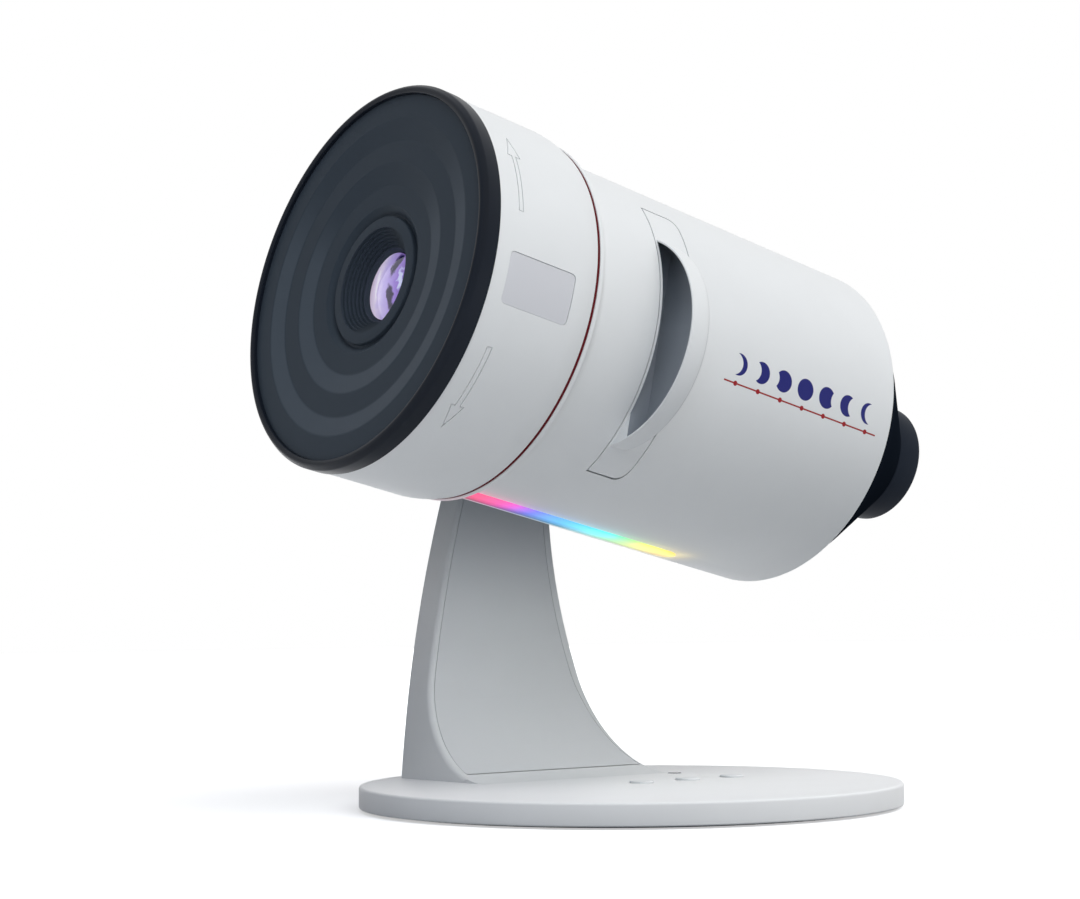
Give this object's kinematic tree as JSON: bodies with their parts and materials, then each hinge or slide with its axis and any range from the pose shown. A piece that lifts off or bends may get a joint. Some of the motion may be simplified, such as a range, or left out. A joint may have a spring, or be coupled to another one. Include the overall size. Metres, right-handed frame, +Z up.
{
  "type": "planetarium projector",
  "caption": "Star projector: a round barrel with a lens, a side drawer for picture discs and a coloured light bar, tilting on one arm above a round base.",
  "frame": {"origin": "centre of the flat underside of the rubber mat that the projector rests on", "axes": "+Z up, -Y towards the side the lens points to, +X towards the disc drawer's handle; the arm is on -X"},
  "size_m": [0.15, 0.2071, 0.1902],
  "materials": {
    "white_shell": "satin moulded ABS",
    "panel_white": "satin moulded ABS",
    "black_satin": "satin black moulded ABS",
    "hood_black": "satin black, stepped",
    "seam_red": "gloss",
    "label_grey": "printed film",
    "rubber": "matte",
    "steel": "zinc plated",
    "spring_steel": "blued",
    "board": "solder mask",
    "switch": "moulded",
    "button_white": "moulded",
    "indicator": "translucent",
    "cable": "flat ribbon",
    "bearing": "sintered",
    "friction": "fibre",
    "inner_black": "moulded, light absorbing",
    "film": "printed film between clear discs",
    "gear_grey": "moulded acetal",
    "pinion_white": "moulded acetal",
    "motor_can": "drawn can",
    "optic": "coated",
    "led": "emitter on a metal core board",
    "sink": "extruded",
    "light_guide": "diffusing acrylic"
  },
  "bodies": {
    "stand": {"base_shell": "white_shell", "base_plate": "panel_white", "rubber_mat": "rubber", "ballast_plate": "steel", "base_screws": "steel", "control_board": "board", "button_switches": "switch", "indicator_lens": "indicator", "power_inlet": "steel", "arm_shell": "white_shell", "arm_cover": "panel_white", "arm_screws": "steel", "arm_ribbon_cable": "cable", "pivot_bush": "bearing", "friction_washer": "friction", "pivot_cap": "white_shell"},
    "power_button": {"power_button": "button_white"},
    "motion_button": {"motion_button": "button_white"},
    "light_button": {"light_button": "button_white"},
    "barrel": {"barrel_shell": "white_shell", "seam_ring": "seam_red", "ring_keeper": "spring_steel", "front_bulkhead": "inner_black", "guide_tube": "inner_black", "disc_bay": "inner_black", "drive_motor": "motor_can", "condenser_holder": "inner_black", "condenser_lens": "optic", "led_board": "led", "heat_sink": "sink", "rear_bulkhead": "inner_black", "rear_screws": "steel", "main_board": "board", "light_bar": "light_guide", "light_strip": "board", "rear_cover": "black_satin", "dial_encoder": "motor_can", "tilt_shaft": "steel", "tilt_shaft_screws": "steel", "spring_washer": "spring_steel", "tilt_nut": "steel"},
    "focus_group": {"focus_ring": "white_shell", "front_rim": "black_satin", "stepped_hood": "hood_black", "label_plate": "label_grey", "cam_sleeve": "inner_black"},
    "lens_group": {"lens_cell": "inner_black", "follower_pins": "steel", "front_lens": "optic", "lens_spacer": "inner_black", "rear_lens": "optic", "lens_retaining_ring": "black_satin"},
    "drawer": {"drawer_front_handle": "white_shell", "drawer_frame": "inner_black"},
    "disc": {"disc_gear": "gear_grey", "disc_keeper": "steel", "star_disc": "film"},
    "pinion": {"drive_pinion": "pinion_white"},
    "knob": {"rear_knob": "black_satin", "knob_shaft": "steel"}
  },
  "joints": [
    {"name": "barrel_tilt", "type": "hinge", "parent": "stand", "child": "barrel", "pos_m": [0, 0, 0.121], "axis": [-1, 0, 0], "range_deg": [-27, 78]},
    {"name": "focus_turn", "type": "hinge", "parent": "barrel", "child": "focus_group", "pos_m": [0, -0.07043, 0.13597], "axis": [0, -0.9781, 0.2079], "range_deg": [-45, 45]},
    {"name": "lens_slide", "type": "slide", "parent": "barrel", "child": "lens_group", "axis": [0, -0.9781, 0.2079], "range_m": [-0.0015, 0.0015]},
    {"name": "drawer_slide", "type": "slide", "parent": "barrel", "child": "drawer", "axis": [1, 0, 0], "range_m": [0, 0.073]},
    {"name": "disc_spin", "type": "hinge", "parent": "drawer", "child": "disc", "pos_m": [0, -0.02445, 0.1262], "axis": [0, -0.9781, 0.2079], "continuous": true},
    {"name": "pinion_spin", "type": "hinge", "parent": "barrel", "child": "pinion", "pos_m": [-0.034, -0.02256, 0.13511], "axis": [0, -0.9781, 0.2079], "continuous": true},
    {"name": "knob_turn", "type": "hinge", "parent": "barrel", "child": "knob", "pos_m": [0, 0.09586, 0.10062], "axis": [0, 0.9781, -0.2079], "range_deg": [0, 270]},
    {"name": "power_button_press", "type": "slide", "parent": "stand", "child": "power_button", "axis": [0, 0, -1], "range_m": [0, 0.00035], "stiffness_N_per_m": 900, "springref_m": -0.0003},
    {"name": "motion_button_press", "type": "slide", "parent": "stand", "child": "motion_button", "axis": [0, 0, -1], "range_m": [0, 0.00035], "stiffness_N_per_m": 900, "springref_m": -0.0003},
    {"name": "light_button_press", "type": "slide", "parent": "stand", "child": "light_button", "axis": [0, 0, -1], "range_m": [0, 0.00035], "stiffness_N_per_m": 900, "springref_m": -0.0003}
  ],
  "couplings": [
    {"joint": "lens_slide", "follows": "focus_turn", "m_per_rad": 0.0019098},
    {"joint": "pinion_spin", "follows": "disc_spin", "ratio": -6}
  ]
}
